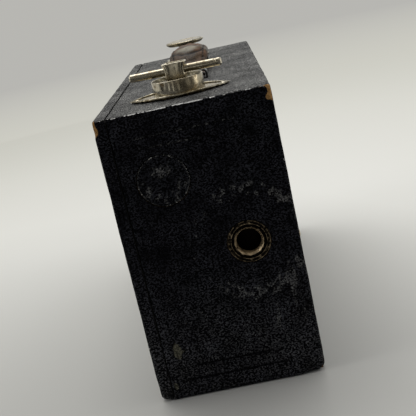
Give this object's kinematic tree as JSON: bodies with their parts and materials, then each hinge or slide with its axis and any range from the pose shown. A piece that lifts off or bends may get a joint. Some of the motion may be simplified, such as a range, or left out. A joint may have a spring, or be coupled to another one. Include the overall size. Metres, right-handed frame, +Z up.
{
  "type": "box camera",
  "caption": "Leather-covered wooden roll-film box camera with winding key, carrying strap, pull knob, tripod bushes, rotary shutter and a hinged rear cover.",
  "frame": {"origin": "middle of the base, on the surface that the camera stands on", "axes": "+Z up; X along the length of the case, near end with the release button at -X; the lens looks along -Y and the rear cover closes the case at +Y"},
  "size_m": [0.1876, 0.0673, 0.1219],
  "materials": {
    "wood": "plain brown hardwood boards, unvarnished",
    "blackened_wood": "thin boards painted matt black",
    "black_leather": "black pebbled leather with tooled border lines, worn at the edges",
    "brown_leather": "smooth dark brown strap leather",
    "nickel": "polished nickel plate with yellowish tarnish",
    "dark_brass": "dark tarnished brass, bright on worn rims",
    "steel": "plain spring steel",
    "black_metal": "black lacquered sheet metal",
    "glass": "clear glass",
    "mirror": "silvered mirror",
    "red_film": "red celluloid window"
  },
  "bodies": {
    "case": {"top_board": "wood", "base_board": "wood", "near_end_board": "wood", "far_end_board": "wood", "front_board": "wood", "near_partition": "blackened_wood", "far_partition": "blackened_wood", "lens_board": "blackened_wood", "film_gate": "black_metal", "case_covering": "black_leather", "front_covering": "black_leather", "base_covering": "black_leather", "end_bush": "dark_brass", "base_bush": "dark_brass", "key_plate": "nickel", "knob_plate": "nickel", "strap_loop_near": "black_metal", "strap_loop_far": "black_metal", "handle_strap": "brown_leather", "lens_bezel": "nickel", "lens_cell": "black_metal", "lens": "glass", "shutter_pivot": "steel", "lever_pivot": "steel", "shutter_spring": "steel", "take_up_pivot": "steel", "supply_pivot": "steel", "click_spring": "steel", "cover_hinge_fixed": "steel", "hinge_pin": "steel", "finder_lens": "glass", "finder_mirror": "mirror", "finder_screen": "glass", "finder_bezel": "nickel"},
    "key_drum": {"key_collar": "nickel", "ratchet_wheel": "steel"},
    "key": {"winding_key": "nickel", "key_bar": "nickel"},
    "take_up": {"take_up_spool": "wood"},
    "supply": {"supply_spool": "wood"},
    "knob": {"spool_knob": "nickel"},
    "roller_near": {"guide_roller_near": "steel"},
    "roller_far": {"guide_roller_far": "steel"},
    "shutter": {"shutter_disc": "black_metal"},
    "lever": {"shutter_lever": "steel"},
    "stops": {"stop_slide": "black_metal"},
    "time": {"time_slide": "black_metal"},
    "button": {"release_button": "black_leather"},
    "latch": {"latch_spring": "steel"},
    "rear_cover": {"cover_panel": "wood", "cover_leather": "black_leather", "red_window": "red_film", "window_ring": "nickel", "cover_keeper": "steel", "cover_hinge_moving": "steel"}
  },
  "joints": [
    {"name": "cover_swing", "type": "hinge", "parent": "case", "child": "rear_cover", "pos_m": [0.094, 0.0268, 0.055], "axis": [0, 0, -1], "range_deg": [0, 110]},
    {"name": "button_press", "type": "slide", "parent": "case", "child": "button", "axis": [1, 0, 0], "range_m": [0, 0.0015], "stiffness_N_per_m": 300},
    {"name": "latch_flex", "type": "hinge", "parent": "case", "child": "latch", "pos_m": [-0.0814, 0.0118, 0.0564], "axis": [0, 1, 0], "range_deg": [0, 3.2]},
    {"name": "key_turn", "type": "hinge", "parent": "case", "child": "key_drum", "pos_m": [-0.067, 0.0006, 0.11], "axis": [0, 0, 1], "continuous": true},
    {"name": "key_lift", "type": "slide", "parent": "key_drum", "child": "key", "axis": [0, 0, 1], "range_m": [0, 0.007]},
    {"name": "take_up_turn", "type": "hinge", "parent": "case", "child": "take_up", "pos_m": [-0.067, 0.0006, 0.055], "axis": [0, 0, 1], "continuous": true},
    {"name": "supply_turn", "type": "hinge", "parent": "case", "child": "supply", "pos_m": [0.067, 0.0006, 0.055], "axis": [0, 0, 1], "continuous": true},
    {"name": "knob_pull", "type": "slide", "parent": "case", "child": "knob", "axis": [0, 0, 1], "range_m": [0, 0.007]},
    {"name": "roller_near_turn", "type": "hinge", "parent": "case", "child": "roller_near", "pos_m": [-0.0488, 0.022, 0.055], "axis": [0, 0, 1], "continuous": true},
    {"name": "roller_far_turn", "type": "hinge", "parent": "case", "child": "roller_far", "pos_m": [0.0488, 0.022, 0.055], "axis": [0, 0, 1], "continuous": true},
    {"name": "lever_swing", "type": "hinge", "parent": "case", "child": "lever", "pos_m": [0.022, -0.02125, 0.04], "axis": [0, -1, 0], "range_deg": [0, 28]},
    {"name": "shutter_turn", "type": "hinge", "parent": "case", "child": "shutter", "pos_m": [-0.012, -0.02265, 0.055], "axis": [0, -1, 0], "range_deg": [-141, 0]},
    {"name": "stop_pull", "type": "slide", "parent": "case", "child": "stops", "axis": [1, 0, 0], "range_m": [0, 0.022]},
    {"name": "time_shift", "type": "slide", "parent": "case", "child": "time", "axis": [0, 0, 1], "range_m": [0, 0.005]}
  ],
  "couplings": [
    {"joint": "take_up_turn", "follows": "key_turn", "ratio": 1},
    {"joint": "latch_flex", "follows": "button_press", "rad_per_m": 35.7},
    {"joint": "shutter_turn", "follows": "lever_swing", "ratio": -5}
  ]
}
